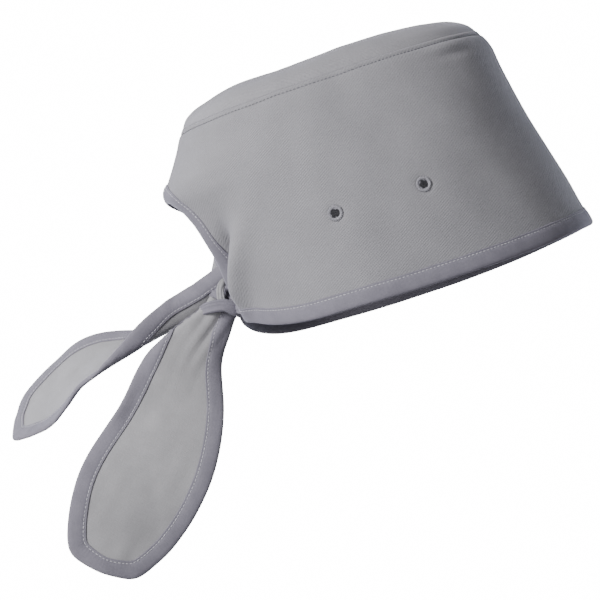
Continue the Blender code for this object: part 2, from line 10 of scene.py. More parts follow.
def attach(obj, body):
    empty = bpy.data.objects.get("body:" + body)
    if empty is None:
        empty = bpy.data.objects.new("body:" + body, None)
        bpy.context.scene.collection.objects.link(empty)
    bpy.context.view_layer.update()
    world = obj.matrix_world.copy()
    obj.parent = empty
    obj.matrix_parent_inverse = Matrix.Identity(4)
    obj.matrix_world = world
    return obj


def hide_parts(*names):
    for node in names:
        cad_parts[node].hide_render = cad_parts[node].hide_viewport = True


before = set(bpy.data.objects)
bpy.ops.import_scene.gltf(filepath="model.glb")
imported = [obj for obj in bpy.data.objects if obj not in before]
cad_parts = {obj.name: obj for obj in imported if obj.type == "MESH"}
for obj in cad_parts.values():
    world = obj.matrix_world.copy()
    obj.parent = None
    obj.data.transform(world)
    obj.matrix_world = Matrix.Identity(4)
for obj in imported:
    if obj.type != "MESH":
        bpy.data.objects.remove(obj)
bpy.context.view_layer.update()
metre = 0.001  # every size below is in millimetres

# The crown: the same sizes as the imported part, so that each cloth lies on its solid.
crown = {
    "length": 200.0,
    "breadth": 165.0,
    "height": 114.0,
    "domeRise": 14.3,
    "rimDip": 6.5,
    "tilt": 18.5,
    "archTop": 79.2,
    "archHalfWidth": 22.0,
    "endHalfGap": 11.0,
    "endTop": 27.0,
    "widest": -12.0,
    "squareness": 2.25,
    "cloth": 0.8,
    "grain": 2.0,
    # Height share, then front, rear and side as shares of half the length or breadth.
    "wall": (
        (-0.08, 1.018, -0.9, 0.995), (0.0, 1.001, -0.905, 1.0), (0.11, 0.973, -0.912, 1.005),
        (0.215, 0.95, -0.92, 1.005), (0.33, 0.92, -0.935, 1.0), (0.44, 0.892, -0.958, 0.99),
        (0.55, 0.863, -0.998, 0.97), (0.62, 0.847, -1.034, 0.955), (0.68, 0.834, -1.066, 0.94),
        (0.74, 0.822, -1.068, 0.924), (0.79, 0.812, -1.042, 0.908), (0.85, 0.802, -0.997, 0.885),
        (0.915, 0.79, -0.95, 0.86), (0.955, 0.772, -0.925, 0.84), (1.0, 0.738, -0.888, 0.8),
    ),
    # Degrees from the middle of the back, lower edge as a share of rimDip.
    "rim": (
        (0.0, 1.75), (8.0, 1.55), (14.0, 1.1), (22.0, 0.72), (34.0, 0.1), (48.0, -0.48),
        (76.0, -0.85), (100.0, -1.0), (123.0, -0.98), (138.0, -0.82), (157.0, -0.43),
        (180.0, 0.0),
    ),
    # Share of the way up the arch, half width as a share of archHalfWidth.
    "arch": (
        (0.0, 0.5), (0.1, 0.58), (0.2, 0.68), (0.33, 0.83), (0.5, 0.97), (0.64, 1.0),
        (0.76, 0.93), (0.86, 0.78), (0.94, 0.54), (0.985, 0.27), (1.0, 0.0),
    ),
    # Distance from the middle of the top and rise, as shares.
    "dome": (
        (0.0, 1.0), (0.25, 0.975), (0.5, 0.925), (0.65, 0.855), (0.76, 0.765),
        (0.85, 0.635), (0.91, 0.485), (0.96, 0.29), (1.0, 0.0),
    ),
    # Degrees round from the back (left positive), height share, half width in
    # degrees, half height share, depth inwards, degrees of lean to the seam.
    "folds": (
        (-19.0, 0.3, 4.6, 0.15, 12.0, -45.0), (-29.5, 0.3, 6.2, 0.17, -8.0, -50.0),
        (-24.0, 0.19, 6.0, 0.09, -3.2, -30.0), (-140.0, 0.95, 8.0, 0.018, -0.9, 0.0),
        (-141.0, 0.915, 9.0, 0.02, 0.9, 0.0), (-8.5, 0.24, 6.5, 0.11, -1.5, 0.0),
        (0.0, 0.72, 16.0, 0.05, -2.2, 0.0), (-40.0, 0.33, 9.0, 0.22, -2.0, 0.0),
        (11.5, 0.3, 5.5, 0.13, 4.0, 4.0), (25.0, 0.31, 7.5, 0.095, -10.0, 0.0),
        (38.0, 0.315, 8.8, 0.2, -2.5, 0.0), (-39.0, 0.885, 10.8, 0.053, 1.6, 38.0),
        (42.0, 0.877, 12.1, 0.061, 1.8, -38.0), (-101.0, 0.737, 17.5, 0.175, 1.7, 46.0),
        (100.0, 0.614, 16.2, 0.193, 1.4, -46.0), (145.0, 0.544, 20.2, 0.21, 1.6, 23.0),
        (-147.0, 0.482, 20.2, 0.228, 1.6, -23.0), (-14.0, 0.5, 8.0, 0.16, -3.2, 0.0),
        (14.0, 0.52, 8.0, 0.17, 3.4, 0.0),
    ),
    "seamDrop": 2.2,
    "seamPull": 0.6,
    "seamPullWidth": 0.5,
    "seamRows": (0.9, 1.5, 1.9, 2.2, 2.5, 2.9, 3.6),
    "ripples": 0.5,
    "rippleSize": 34.0,
}

drawnRadius = 0.233 * (crown["length"] + crown["breadth"])
circle = 2.0 * math.pi * drawnRadius


def columns(*parts):
    return np.stack(parts, axis=-1)


def joined(*parts):
    return np.concatenate(parts)


def unit(v):
    return v / np.maximum(np.linalg.norm(v, axis=-1, keepdims=True), 1e-12)


def alongOf(points):  # distance run at each point of a line
    return joined([0.0], np.cumsum(np.linalg.norm(np.diff(points, axis=0), axis=1)))


def sample(at, along, line):
    return np.stack([np.interp(at, along, line[:, k]) for k in range(line.shape[1])], axis=-1)


def follow(rows, column, at):  # smooth curve through a column of a table
    xs = np.array([row[0] for row in rows])
    ys = np.array([row[column] for row in rows])
    at = np.clip(np.asarray(at, float), xs[0], xs[-1])
    steps = np.diff(xs)
    slopes = np.diff(ys) / steps
    tangent = np.empty_like(ys)
    tangent[0], tangent[-1] = slopes[0], slopes[-1]
    turning = slopes[:-1] * slopes[1:] > 0
    mean = (steps[1:] * slopes[:-1] + steps[:-1] * slopes[1:]) / (steps[1:] + steps[:-1])
    tangent[1:-1] = np.where(turning, mean, 0.0)
    cell = np.clip(np.searchsorted(xs, at, side="right") - 1, 0, len(xs) - 2)
    h = steps[cell]
    t = (at - xs[cell]) / h
    blend = t * t * (3.0 - 2.0 * t)
    value = ys[cell] * (1.0 - blend) + ys[cell + 1] * blend
    value += h * t * (1.0 - t) ** 2 * tangent[cell]
    return value + h * t * t * (t - 1.0) * tangent[cell + 1]


def smoothly(rows, column, at):  # the same without the corners at the rows
    at = np.asarray(at, float)
    return sum(follow(rows, column, at + 0.016 * k) for k in range(-3, 4)) / 7.0


def ease(x, low, high):  # 0 below low, 1 above high, smooth between
    t = np.clip((np.asarray(x, float) - low) / (high - low), 0.0, 1.0)
    return t * t * (3.0 - 2.0 * t)


def softNoise(x, y, seed):  # smooth hills from -1 to 1, one unit apart
    side = 64
    grid = np.random.default_rng(seed).uniform(-1.0, 1.0, (side, side))
    i, j = np.floor(x).astype(int), np.floor(y).astype(int)
    a, b = x - i, y - j
    a, b = a * a * (3 - 2 * a), b * b * (3 - 2 * b)
    i0, i1, j0, j1 = i % side, (i + 1) % side, j % side, (j + 1) % side
    low = grid[i0, j0] * (1 - a) + grid[i1, j0] * a
    high = grid[i0, j1] * (1 - a) + grid[i1, j1] * a
    return low * (1 - b) + high * b


def worn(points):  # from the level cap to the way it is worn
    tilt = math.radians(crown["tilt"])
    x, y, z = points[..., 0], points[..., 1], points[..., 2]
    turnedX = x * math.cos(tilt) - z * math.sin(tilt)
    turnedZ = x * math.sin(tilt) + z * math.cos(tilt)
    return columns(turnedX, y, turnedZ)


def wallBare(roundAt, height):
    angle = roundAt / drawnRadius
    share = height / crown["height"]
    half = crown["length"] / 2.0
    front = follow(crown["wall"], 1, share) * half - crown["widest"]
    rear = crown["widest"] - follow(crown["wall"], 2, share) * half
    side = follow(crown["wall"], 3, share) * crown["breadth"] / 2.0
    forward, across = -np.cos(angle), np.sin(angle)
    reach = np.where(forward > 0, front, rear)
    power = crown["squareness"]
    total = np.abs(forward / reach) ** power + np.abs(across / side) ** power
    radius = total ** (-1.0 / power)
    return columns(crown["widest"] + radius * forward, radius * across, height)


def normalsOf(surface, flat, step=0.4):
    u, v = flat[:, 0], flat[:, 1]
    du = surface(u + step, v) - surface(u - step, v)
    dv = surface(u, v + step) - surface(u, v - step)
    return unit(np.cross(dv, du))


def seamHeight(roundAt):
    x = wallBare(roundAt, np.full(np.shape(roundAt), crown["height"]))[..., 0]
    return crown["height"] * (0.9965 + 0.0045 * x / (crown["length"] / 2.0))


def rimHeight(roundAt):
    degrees = np.abs(np.degrees(np.minimum(roundAt, circle - roundAt) / drawnRadius))
    return follow(crown["rim"], 1, degrees) * crown["rimDip"]


def wall(roundAt, height):
    flat = columns(np.ravel(roundAt), np.ravel(height))
    u, v = flat[:, 0], flat[:, 1]
    push = np.zeros(len(flat))
    degrees = np.degrees(u / drawnRadius)
    for middle, level, halfRound, halfHeight, depth, lean in crown["folds"]:
        up = v / crown["height"] - level
        off = (degrees - middle - lean * up + 180.0) % 360.0 - 180.0
        push += depth * np.exp(-((off / halfRound) ** 2) - (up / halfHeight) ** 2)
    turn = u / drawnRadius
    size = crown["rippleSize"]
    reach = drawnRadius / size
    near = softNoise(reach * np.cos(turn) * 2 + 9.0, reach * np.sin(turn) * 2 + v / size, 4)
    push += crown["ripples"] * near
    below = (seamHeight(u) - v - crown["seamDrop"]) / crown["seamPullWidth"]
    push += crown["seamPull"] * np.exp(-(below**2))  # the seam pulls the cloth in
    return wallBare(u, v) - normalsOf(wallBare, flat) * push[:, None]


def inset(line, distance):  # the line moved to its left in the flat drawing
    ahead = np.diff(line, axis=0, append=2 * line[-1:] - line[-2:-1])
    behind = np.diff(line, axis=0, prepend=2 * line[:1] - line[1:2])
    run = unit(unit(ahead) + unit(behind))
    return line + distance * columns(-run[:, 1], run[:, 0])


def evenly(line, spacing, smooth=0.0):  # the same line with points at even steps
    along = alongOf(line)
    count = max(3, int(round(along[-1] / spacing)) + 1)
    at = np.linspace(0.0, along[-1], count)
    out = sample(at, along, line)
    if smooth > 0:
        reach = max(1, int(round(2.0 * smooth / (along[-1] / (count - 1)))))
        weight = np.exp(-0.5 * (np.arange(-reach, reach + 1) / (reach / 2.0)) ** 2)
        weight /= weight.sum()
        head = 2 * out[0] - out[reach:0:-1]
        tail = 2 * out[-1] - out[-2 : -reach - 2 : -1]
        padded = joined(head, out, tail)
        out = np.stack([np.convolve(column, weight, mode="valid") for column in padded.T], axis=-1)
    return out


def insideLoop(points, loop):
    x, y = points[:, 0], points[:, 1]
    hit = np.zeros(len(points), bool)
    for a, b in zip(loop, np.roll(loop, -1, axis=0)):
        rise = b[1] - a[1]
        if abs(rise) < 1e-12:
            continue
        crosses = (a[1] > y) != (b[1] > y)
        hit ^= crosses & (x < a[0] + (y - a[1]) * (b[0] - a[0]) / rise)
    return hit


def farFrom(points, others, distance):
    tree = KDTree(len(others))
    for i, p in enumerate(others):
        tree.insert((p[0], p[1], 0.0), i)
    tree.balance()
    return np.array([tree.find((p[0], p[1], 0.0))[2] > distance for p in points], bool)


def doubleAreas(points, faces):  # twice each flat triangle, below 0 if clockwise
    p, q, r = (points[faces[:, k]] for k in range(3))
    return (q - p)[:, 0] * (r - p)[:, 1] - (q - p)[:, 1] * (r - p)[:, 0]


def drawCloth(loop, holes, rows, spacing):  # triangles of a flat pattern piece
    fixed = joined(loop, *holes)
    chosen = fixed
    for row in rows:
        row = row[insideLoop(row, loop)]
        row = row[farFrom(row, chosen, spacing * 0.14)]
        chosen = joined(chosen, row)
    low, high = loop.min(0), loop.max(0)
    lines = np.arange(low[1], high[1], spacing * 0.87)
    grid = []
    for k, y in enumerate(lines):
        xs = np.arange(low[0] + (k % 2) * spacing / 2, high[0], spacing)
        grid.append(columns(xs, np.full(len(xs), y)))
    grid = np.concatenate(grid)
    grid = grid[insideLoop(grid, loop)]
    grid = grid[farFrom(grid, chosen, spacing * 0.62)]
    points = joined(chosen, grid)
    edges, start = [], 0
    for ring in [loop] + list(holes):
        count = len(ring)
        edges += [(start + i, start + (i + 1) % count) for i in range(count)]
        start += count
    made = delaunay_2d_cdt([Vector(p) for p in points], edges, [], 0, 1e-6)
    points = np.array([tuple(p) for p in made[0]])
    faces = np.array([f for f in made[2] if len(f) == 3])
    middle = points[faces].mean(axis=1)
    keep = insideLoop(middle, loop)
    for ring in holes:
        keep &= ~insideLoop(middle, ring)
    faces = faces[keep]
    turned = doubleAreas(points, faces) < 0
    faces[turned] = faces[turned][:, ::-1]
    return points, faces


def unwrapAtCut(piece):  # faces over the cut take the drawing's left end
    mesh = piece.data
    uv = np.empty(len(mesh.loops) * 2)
    mesh.uv_layers[0].data.foreach_get("uv", uv)
    uv = uv.reshape(-1, 2)
    starts = np.empty(len(mesh.polygons), np.int32)
    mesh.polygons.foreach_get("loop_start", starts)
    low = np.minimum.reduceat(uv[:, 0], starts)
    sizes = np.diff(np.append(starts, len(uv)))
    crossing = np.repeat(low, sizes) < uv[:, 0] - circle / 2.0
    uv[crossing, 0] -= circle
    mesh.uv_layers[0].data.foreach_set("uv", uv.astype(np.float32).ravel())


def addObject(name, data):
    made = bpy.data.objects.new(name, data)
    bpy.context.scene.collection.objects.link(made)
    return made


def makePiece(name, points, faces, material, uv=None):
    mesh = bpy.data.meshes.new(name)
    mesh.from_pydata((points * metre).tolist(), [], [tuple(int(i) for i in f) for f in faces])
    if uv is not None:
        layer = mesh.uv_layers.new(name="cloth")
        corner = np.empty(len(mesh.loops), np.int32)
        mesh.loops.foreach_get("vertex_index", corner)
        layer.data.foreach_set("uv", uv[corner].astype(np.float32).ravel())
    mesh.validate()
    mesh.shade_smooth()
    piece = addObject(name, mesh)
    mesh.materials.append(material)
    co = np.empty(len(mesh.vertices) * 3)
    mesh.vertices.foreach_get("co", co)
    co = co.reshape(-1, 3)
    mesh.calc_loop_triangles()
    tri = np.empty(len(mesh.loop_triangles) * 3, np.int32)
    mesh.loop_triangles.foreach_get("vertices", tri)
    a, b, c = (co[tri.reshape(-1, 3)[:, k]] for k in range(3))
    signed = float((a * np.cross(b, c)).sum())
    if signed < 0:
        mesh.flip_normals()
    return piece


def makeCloth(name, points, normals, faces, thick, look, flat):  # one closed piece
    count = len(points)
    both = joined(points, points - normals * thick)
    edges = joined(faces[:, [0, 1]], faces[:, [1, 2]], faces[:, [2, 0]])
    seen = {tuple(e) for e in edges.tolist()}
    rim = sorted(e for e in seen if (e[1], e[0]) not in seen)
    sides = [(b, a, a + count, b + count) for a, b in rim]
    allFaces = faces.tolist() + (faces[:, ::-1] + count).tolist() + sides
    return makePiece(name, both, allFaces, cloths[look], joined(flat, flat))


def tubeFaces(stations, around, closed=False):
    faces = []
    for i in range(stations if closed else stations - 1):
        here, there = i * around, (i + 1) % stations * around
        for k in range(around):
            m = (k + 1) % around
            faces.append((here + k, here + m, there + m, there + k))
    return faces


# Shader maths: a wire is a socket that Python expressions can be written with.
class Wire:
    def __init__(self, graph, socket):
        self.graph, self.socket = graph, socket

    def maths(self, operation, first, second=0.0):
        return self.graph.node("ShaderNodeMath", {"operation": operation}, {0: first, 1: second})

    def __add__(self, other):
        return self.maths("ADD", self, other)

    __radd__ = __add__

    def __sub__(self, other):
        return self.maths("SUBTRACT", self, other)

    def __rsub__(self, other):
        return self.maths("SUBTRACT", other, self)

    def __mul__(self, other):
        return self.maths("MULTIPLY", self, other)

    __rmul__ = __mul__

    def wave(self):
        return self.maths("SINE", self)

    def clamped(self):
        return self.maths("MINIMUM", self.maths("MAXIMUM", self, 0.0), 1.0)


class Graph:
    def __init__(self, name):
        self.material = bpy.data.materials.new(name)
        self.material.use_nodes = True
        self.tree = self.material.node_tree
        self.shader = self.tree.nodes["Principled BSDF"]

    def node(self, kind, settings=None, inputs=None, output=0):
        made = self.tree.nodes.new(kind)
        for key, value in (settings or {}).items():
            setattr(made, key, value)
        for key, value in (inputs or {}).items():
            self.join(made.inputs[key], value)
        return Wire(self, made.outputs[output])

    def noise(self, place, scale, detail, **more):
        given = {"Vector": place, "Scale": scale, "Detail": detail, **more}
        return self.node("ShaderNodeTexNoise", None, given)

    def bump(self, strength, depth, height):
        given = {"Strength": strength, "Distance": depth, "Height": height}
        return self.node("ShaderNodeBump", None, given)

    def join(self, socket, value):
        if isinstance(value, Wire):
            self.tree.links.new(value.socket, socket)
        else:
            socket.default_value = value

    def finish(self, values):
        for key, value in values.items():
            self.join(self.shader.inputs[key], value)
        return self.material


def mixColour(graph, share, first, second):
    given = {0: share, 6: first, 7: second}
    return graph.node("ShaderNodeMix", {"data_type": "RGBA"}, given, output=2)


def wovenCloth(name, look):
    graph = Graph(name)
    flat = graph.node("ShaderNodeUVMap", {"uv_map": "cloth"})
    u, v = (graph.node("ShaderNodeSeparateXYZ", None, {0: flat}, k) for k in (0, 1))
    lean = math.radians(look["twillLean"])
    turn = 2.0 * math.pi / look["twillPitch"]
    wobble = graph.noise(flat, 0.12, 1.0)
    diagonal = (u * (turn * math.cos(lean)) + v * (turn * math.sin(lean)) + wobble * 1.6).wave()
    yarnTurn = 2.0 * math.pi / look["yarnPitch"]
    yarn = (u * yarnTurn).wave() * (v * yarnTurn).wave()
    warp, weft = (
        graph.noise(graph.node("ShaderNodeMapping", None, {"Vector": flat, "Scale": by}), 1.0, 2.0)
        for by in ((2.1, 0.10, 1.0), (0.10, 2.1, 1.0))
    )
    speckle = graph.noise(flat, 1.25, 2.0)
    patches = graph.noise(flat, 1.0 / look["patchSize"], 3.0, Roughness=0.6)
    relief = diagonal * look["twill"] + yarn * look["yarn"] + (warp + weft - 1.0) * look["slub"]
    grain = relief * 0.5 + (speckle - 0.5) * look["speckle"]
    shade = (grain * look["contrast"] + 0.5 + (patches - 0.5) * look["patches"]).clamped()
    colour = mixColour(graph, shade, look["dark"], look["light"])
    return graph.finish(
        {
            "Base Color": colour,
            "Roughness": 0.86 - grain * 0.06,
            "Normal": graph.bump(look["bump"], 0.0003, relief + speckle * 0.4),
            "Sheen Weight": look["sheen"],
            "Sheen Roughness": 0.45,
            "Sheen Tint": look["sheenTint"],
            "Specular IOR Level": 0.28,
        }
    )


# Each look, then its value for the crown, the tape and the ties.
lookTable = {
    "dark": ((0.172, 0.168, 0.184, 1.0), (0.120, 0.114, 0.142, 1.0), (0.215, 0.211, 0.222, 1.0)),
    "light": ((0.364, 0.358, 0.382, 1.0), (0.262, 0.250, 0.296, 1.0), (0.408, 0.402, 0.420, 1.0)),
    "twillLean": (60.0, 4.0, 52.0),
    "twillPitch": (1.2, 0.62, 0.8),
    "yarnPitch": (0.9, 0.62, 0.6),
    "twill": (0.27, 0.25, 0.2),
    "yarn": (0.55, 0.2, 0.2),
    "slub": (0.4, 0.5, 0.8),
    "speckle": (1.1, 0.7, 1.0),
    "contrast": (0.62, 0.45, 0.5),
    "patchSize": (24.0, 7.0, 16.0),
    "patches": (0.34, 0.55, 0.50),
    "bump": (0.5, 0.3, 0.25),
    "sheen": (0.22, 0.3, 0.25),
    "sheenTint": ((0.86, 0.86, 1.0, 1.0), (0.84, 0.84, 1.0, 1.0), (0.9, 0.9, 1.0, 1.0)),
}
looks = {
    name: {key: values[k] for key, values in lookTable.items()}
    for k, name in enumerate(("crownTwill", "tapeTwill", "tieTwill"))
}
looks["topTwill"] = dict(looks["crownTwill"], twill=0.14, yarn=0.16)  # seen at a low angle
cloths = {name: wovenCloth(name, look) for name, look in looks.items()}
print("materials ready")

threadTwist = 3200.0  # noise cells to the metre


def threadMaterial(name, dark, light):
    graph = Graph(name)
    place = graph.node("ShaderNodeTexCoord", None, None, output=3)
    twist = graph.noise(place, threadTwist, 1.0)
    share = ((twist - 0.5) * 1.5 + 0.55).clamped()
    return graph.finish(
        {
            "Base Color": mixColour(graph, share, dark, light),
            "Roughness": 0.7,
            "Normal": graph.bump(0.5, 0.0001, twist),
            "Sheen Weight": 0.2,
        }
    )


thread = threadMaterial("sewingThread", (0.26, 0.26, 0.29, 1.0), (0.66, 0.65, 0.70, 1.0))
ringThread = threadMaterial("eyeletThread", (0.15, 0.15, 0.17, 1.0), (0.46, 0.45, 0.50, 1.0))
# The top seam's thread is coloured near black: partly the thread's own tone, partly painted shade
# of the ditch the seam pulls into the cloth.
seamShadeThread = threadMaterial("seamShadeThread", (0.06, 0.06, 0.07, 1.0), (0.20, 0.20, 0.22, 1.0))


# Stitches: one tree lays a thread loop on each point of a seam.
def stitchTree():
    tree = bpy.data.node_groups.new("stitchRow", "GeometryNodeTree")
    sockets = {
        "Geometry": "Geometry",
        "Stitch Length": "Float",
        "Thread Width": "Float",
        "Arch": "Float",
        "Unevenness": "Float",
        "Seed": "Int",
        "Thread": "Material",
    }
    for name, kind in sockets.items():
        tree.interface.new_socket(name, in_out="INPUT", socket_type="NodeSocket" + kind)
    tree.interface.new_socket("Geometry", in_out="OUTPUT", socket_type="NodeSocketGeometry")

    def add(kind, settings=None, inputs=None):
        node = tree.nodes.new(kind)
        for key, value in (settings or {}).items():
            setattr(node, key, value)
        for key, value in (inputs or {}).items():
            if isinstance(value, bpy.types.NodeSocket):
                tree.links.new(value, node.inputs[key])
            else:
                node.inputs[key].default_value = value
        return node.outputs

    def maths(operation, first, second):
        return add("ShaderNodeMath", {"operation": operation}, {0: first, 1: second})[0]

    given = add("NodeGroupInput")
    half = maths("MULTIPLY", given[1], 0.5)
    back = maths("MULTIPLY", given[1], -0.5)
    start = add("ShaderNodeCombineXYZ", None, {0: back})[0]
    crest = add("ShaderNodeCombineXYZ", None, {2: given[3]})[0]
    end = add("ShaderNodeCombineXYZ", None, {0: half})[0]
    arc = add("GeometryNodeCurveQuadraticBezier", None, {0: 5, 1: start, 2: crest, 3: end})
    radius = maths("MULTIPLY", given[2], 0.5)
    ring = add("GeometryNodeCurvePrimitiveCircle", None, {0: 6, 4: radius})
    loop = add(
        "GeometryNodeCurveToMesh", None, {0: arc[0], 1: ring[0], "Fill Caps": True}
    )
    tangent = add("GeometryNodeInputNamedAttribute", {"data_type": "FLOAT_VECTOR"}, {0: "tangent"})
    normal = add("GeometryNodeInputNamedAttribute", {"data_type": "FLOAT_VECTOR"}, {0: "normal"})
    along = add(
        "FunctionNodeAlignRotationToVector", {"axis": "X"}, {"Vector": tangent[0]}
    )
    upright = add(
        "FunctionNodeAlignRotationToVector",
        {"axis": "Z", "pivot_axis": "X"},
        {"Rotation": along[0], "Vector": normal[0]},
    )
    least = maths("SUBTRACT", 1.0, given[4])
    most = maths("ADD", 1.0, given[4])
    size = add(
        "FunctionNodeRandomValue", {"data_type": "FLOAT"}, {2: least, 3: most, "Seed": given[5]}
    )
    placed = add(
        "GeometryNodeInstanceOnPoints",
        None,
        {
            "Points": given[0],
            "Instance": loop[0],
            "Rotation": upright[0],
            "Scale": size[1],
        },
    )
    real = add("GeometryNodeRealizeInstances", None, {0: placed[0]})
    smooth = add("GeometryNodeSetShadeSmooth", None, {0: real[0]})
    dressed = add("GeometryNodeSetMaterial", None, {0: smooth[0], "Material": given[6]})
    add("NodeGroupOutput", None, {0: dressed[0]})
    return tree


stitches = stitchTree()


def sew(name, rows, size, yarn=thread):  # rows of (point, tangent, normal) arrays, in millimetres
    points = np.concatenate([r[0] for r in rows])
    mesh = bpy.data.meshes.new(name + "Points")
    mesh.from_pydata((points * metre).tolist(), [], [])
    for key, column in (("tangent", 1), ("normal", 2)):
        attribute = mesh.attributes.new(key, "FLOAT_VECTOR", "POINT")
        values = np.concatenate([r[column] for r in rows])
        attribute.data.foreach_set("vector", values.astype(np.float32).ravel())
    holder = addObject(name + "Points", mesh)
    modifier = holder.modifiers.new("stitches", "NODES")
    modifier.node_group = stitches
    values = {
        "Stitch Length": size["length"] * metre,
        "Thread Width": size["width"] * metre,
        "Arch": size["arch"] * metre,
        "Unevenness": size["unevenness"],
        "Seed": size["seed"],
        "Thread": yarn,
    }
    for item in stitches.interface.items_tree:
        if item.in_out == "INPUT" and item.name in values:
            modifier[item.identifier] = values[item.name]
    holder.update_tag()
    depsgraph = bpy.context.evaluated_depsgraph_get()
    made = bpy.data.meshes.new_from_object(holder.evaluated_get(depsgraph))
    made.name = name
    piece = addObject(name, made)
    bpy.data.objects.remove(holder, do_unlink=True)
    print(name, len(made.polygons), "faces")
    return piece


def stitchRow(line, surface, normalsAt, away, above, side=1.0):
    flat = inset(evenly(line, 0.5), away)
    points = surface(*flat.T)
    spaced = alongOf(points)
    pitch = tapeSize["pitch"]
    centres = np.arange(pitch, spaced[-1] - pitch, pitch)
    flat = sample(centres, spaced, flat)
    ahead, behind = (sample(centres + step, spaced, points) for step in (0.3, -0.3))
    normal = normalsAt(flat)
    return surface(*flat.T) + normal * above, unit(ahead - behind), normal * side


# Bias tape folded over a cloth edge.
tapeSize = {
    "width": 8.6,
    "thick": 0.55,
    "stitchIn": 1.25,
    "pitch": 2.1,
    "pucker": 0.07,
    "wave": 0.16,
    "waveLength": 9.0,
    "edgeWander": 0.22,
    "wanderLength": 14.0,
    "station": 0.6,
}


def tapeSection(cloth):  # inset from the edge, height above the cloth, share of pucker
    w, t = tapeSize["width"], tapeSize["thick"]
    stitch = w - tapeSize["stitchIn"]
    leg = [
        (w, 0.04, 0.0),
        (w + 0.02, t * 0.75, 0.0),
        (w - 0.22, t - 0.02, 0.3),
        (stitch + 0.55, t - 0.04, 0.7),
        (stitch, t - 0.16, 1.0),
        (stitch - 0.6, t + 0.1, 0.8),
        (stitch - 1.6, t + 0.24, 0.5),
        (w * 0.45, t + 0.32, 0.25),
        (w * 0.2, t + 0.26, 0.1),
        (0.4, t + 0.06, 0.0),
        (-0.35, t * 0.35, 0.0),
    ]
    fold = [(-0.72, -cloth * 0.5, 0.0)]
    under = [(away, -cloth - above, share) for away, above, share in leg[::-1]]
    lining = [(0.2, -cloth - 0.04, 0.0), (0.2, 0.04, 0.0)]
    return np.array(leg + fold + under + lining)


def foldedTape(name, line, surface, normalsAt, cloth, seed):
    section = tapeSection(cloth)
    line = evenly(line, tapeSize["station"])
    run = alongOf(surface(*line.T))
    pucker = np.cos(2 * np.pi * run / tapeSize["pitch"]) * tapeSize["pucker"]
    level, side = np.full(len(run), 3.7), np.full(len(run), 8.2)
    wave = softNoise(run / tapeSize["waveLength"], level, seed) * tapeSize["wave"]
    wander = softNoise(run / tapeSize["wanderLength"], side, seed) * tapeSize["edgeWander"]
    ahead = np.gradient(line, axis=0)
    left = unit(columns(-ahead[:, 1], ahead[:, 0]))
    rows, uvs = [], []
    for away, above, share in section:
        flat = line + left * (away + wander * ease(away, 4.0, 8.0))[:, None]
        puff = pucker * share + wave * ease(share, 0.0, 0.5)
        lift = above + np.sign(above + cloth / 2) * puff
        rows.append(surface(*flat.T) + normalsAt(flat) * lift[:, None])
        across = away if above > -cloth / 2 else -away
        uvs.append(columns(run, np.full(len(run), across)))
    points = np.stack(rows, axis=1)
    stations, around = points.shape[:2]
    faces = tubeFaces(stations, around)
    last = (stations - 1) * around
    faces.append(tuple(range(around))[::-1])
    faces.append(tuple(last + k for k in range(around)))
    uv = np.stack(uvs, axis=1).reshape(-1, 2)
    return makePiece(name, points.reshape(-1, 3), faces, cloths["tapeTwill"], uv)


# Outlines of the crown in its flat drawing.
halfRound = circle / 2.0
mirror = np.array([-1.0, 1.0])
edgeBack = 0.5  # the cloth stops this far inside the tape's fold
rimAt = np.linspace(crown["endHalfGap"], circle - crown["endHalfGap"], 1200)
rimLine = columns(rimAt, rimHeight(rimAt) + edgeBack)
archAt = 1.0 - np.linspace(1.0, 0.0, 240) ** 2
archHalf = follow(crown["arch"], 1, archAt) * crown["archHalfWidth"] + edgeBack
archHalf[-1] = 0.0
archUp = crown["endTop"] + archAt * (crown["archTop"] - crown["endTop"]) + edgeBack * archAt
archLeft = columns(archHalf, archUp)
archLine = evenly(joined(archLeft, archLeft[-2::-1] * mirror), 1.0, smooth=2.5)

grain = crown["grain"]


def levelWall(u, v):
    return worn(wall(u, v))


def levelNormals(flat):
    return normalsOf(levelWall, flat)


crownCloth = (levelWall, levelNormals, crown["cloth"])


